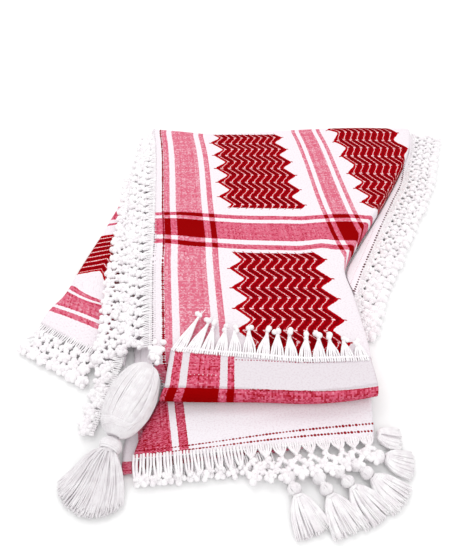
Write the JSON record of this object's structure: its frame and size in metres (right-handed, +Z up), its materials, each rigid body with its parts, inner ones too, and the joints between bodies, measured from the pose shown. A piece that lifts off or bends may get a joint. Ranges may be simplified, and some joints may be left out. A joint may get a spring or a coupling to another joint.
{
  "type": "keffiyeh headscarf",
  "caption": "Folded square cotton headscarf with woven stripes and zigzag patches, knotted fringe along its edges and corded tassels, lying flat with one end turned up.",
  "frame": {"origin": "middle of the folded scarf on the surface it lies on, on the flat underside of the stack", "axes": "+Z up out of the surface, +Y away from the turned-up end towards the far fold, +X to the wearer's right of the picture, along the turned-up end"},
  "size_m": [0.5963, 0.6617, 0.0532],
  "materials": {
    "cloth_front": "woven cotton, red figure on white",
    "cloth_reverse": "woven cotton, pale reverse",
    "white_cotton": "soft twisted cotton yarn"
  },
  "bodies": {
    "root": {"core": "cloth_front", "corner_knot": "white_cotton", "cuff_flap": "cloth_reverse", "cuff_fringe": "white_cotton", "left_fringe": "white_cotton", "left_under_fringe": "white_cotton", "left_wing": "cloth_front", "left_wing_fringe": "white_cotton", "lower_flap": "cloth_reverse", "lower_fringe": "white_cotton", "right_wing": "cloth_reverse", "right_wing_fringe": "white_cotton", "small_tassel_1": "white_cotton", "small_tassel_2": "white_cotton", "small_tassel_3": "white_cotton", "small_tassel_4": "white_cotton", "small_tassel_5": "white_cotton", "small_tassel_6": "white_cotton", "tassel_head": "white_cotton", "tassel_neck": "white_cotton", "tassel_skirt": "white_cotton", "top_panel": "cloth_front", "under_flap": "cloth_front", "under_fringe": "white_cotton"}
  },
  "joints": []
}
